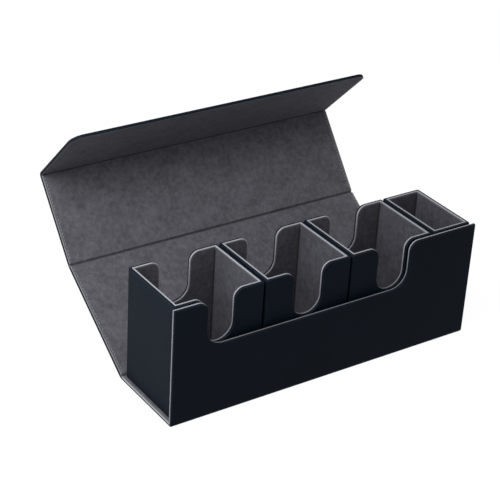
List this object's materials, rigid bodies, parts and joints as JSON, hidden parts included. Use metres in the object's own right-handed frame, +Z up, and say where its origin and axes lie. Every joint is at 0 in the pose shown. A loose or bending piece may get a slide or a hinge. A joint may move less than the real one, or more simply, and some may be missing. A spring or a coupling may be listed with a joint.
{
  "type": "card deck box",
  "caption": "Long leather-covered box for card decks, with lift-out trays in a row and a folding cover closed by a front flap.",
  "frame": {"origin": "middle of the base's flat underside, level with what the box stands on", "axes": "+X along the row of trays, from the first deck tray to the small tray; +Y to the back crease; +Z up"},
  "size_m": [0.282, 0.2108, 0.1741],
  "materials": {
    "leather": "satin",
    "board": "matte",
    "lining": "matte",
    "thread": "satin",
    "steel": "satin",
    "magnet": "polished"
  },
  "bodies": {
    "case": {"case_leather": "leather", "case_base_board": "board", "case_front_board": "board", "case_lining": "lining", "keeper_plate_left": "steel", "keeper_plate_right": "steel"},
    "back_panel": {"back_panel_leather": "leather", "back_panel_board": "board", "back_panel_lining": "lining"},
    "top_crease": {"top_crease_leather": "leather", "top_crease_lining": "lining"},
    "top_panel": {"top_panel_leather": "leather", "top_panel_board": "board", "top_panel_lining": "lining"},
    "front_flap": {"front_flap_leather": "leather", "front_flap_board": "board", "front_flap_lining": "lining", "flap_magnet_left": "magnet", "flap_magnet_right": "magnet"},
    "deck_tray_1": {"deck_tray_1_leather": "leather", "deck_tray_1_board": "board", "deck_tray_1_lining": "lining"},
    "deck_tray_2": {"deck_tray_2_leather": "leather", "deck_tray_2_board": "board", "deck_tray_2_lining": "lining"},
    "deck_tray_3": {"deck_tray_3_leather": "leather", "deck_tray_3_board": "board", "deck_tray_3_lining": "lining"},
    "small_tray": {"small_tray_leather": "leather", "small_tray_board": "board", "small_tray_lining": "lining"}
  },
  "joints": [
    {"name": "back_crease_hinge", "type": "hinge", "parent": "case", "child": "back_panel", "pos_m": [0, 0.038, 0.0008], "axis": [-1, 0, 0], "range_deg": [-56.5, 33.5]},
    {"name": "top_crease_rear_hinge", "type": "hinge", "parent": "back_panel", "child": "top_crease", "pos_m": [0, 0.12247, 0.05671], "axis": [-1, 0, 0], "range_deg": [-36.15, 8.85]},
    {"name": "top_crease_front_hinge", "type": "hinge", "parent": "top_crease", "child": "top_panel", "pos_m": [0, 0.12395, 0.05806], "axis": [-1, 0, 0], "range_deg": [-36.15, 8.85]},
    {"name": "flap_crease_hinge", "type": "hinge", "parent": "top_panel", "child": "front_flap", "pos_m": [0, 0.17233, 0.11822], "axis": [-1, 0, 0], "range_deg": [-6.2, 83.8]},
    {"name": "deck_tray_1_lift", "type": "slide", "parent": "case", "child": "deck_tray_1", "axis": [0, 0, 1], "range_m": [0, 0.11]},
    {"name": "deck_tray_2_lift", "type": "slide", "parent": "case", "child": "deck_tray_2", "axis": [0, 0, 1], "range_m": [0, 0.11]},
    {"name": "deck_tray_3_lift", "type": "slide", "parent": "case", "child": "deck_tray_3", "axis": [0, 0, 1], "range_m": [0, 0.11]},
    {"name": "small_tray_lift", "type": "slide", "parent": "case", "child": "small_tray", "axis": [0, 0, 1], "range_m": [0, 0.11]}
  ]
}
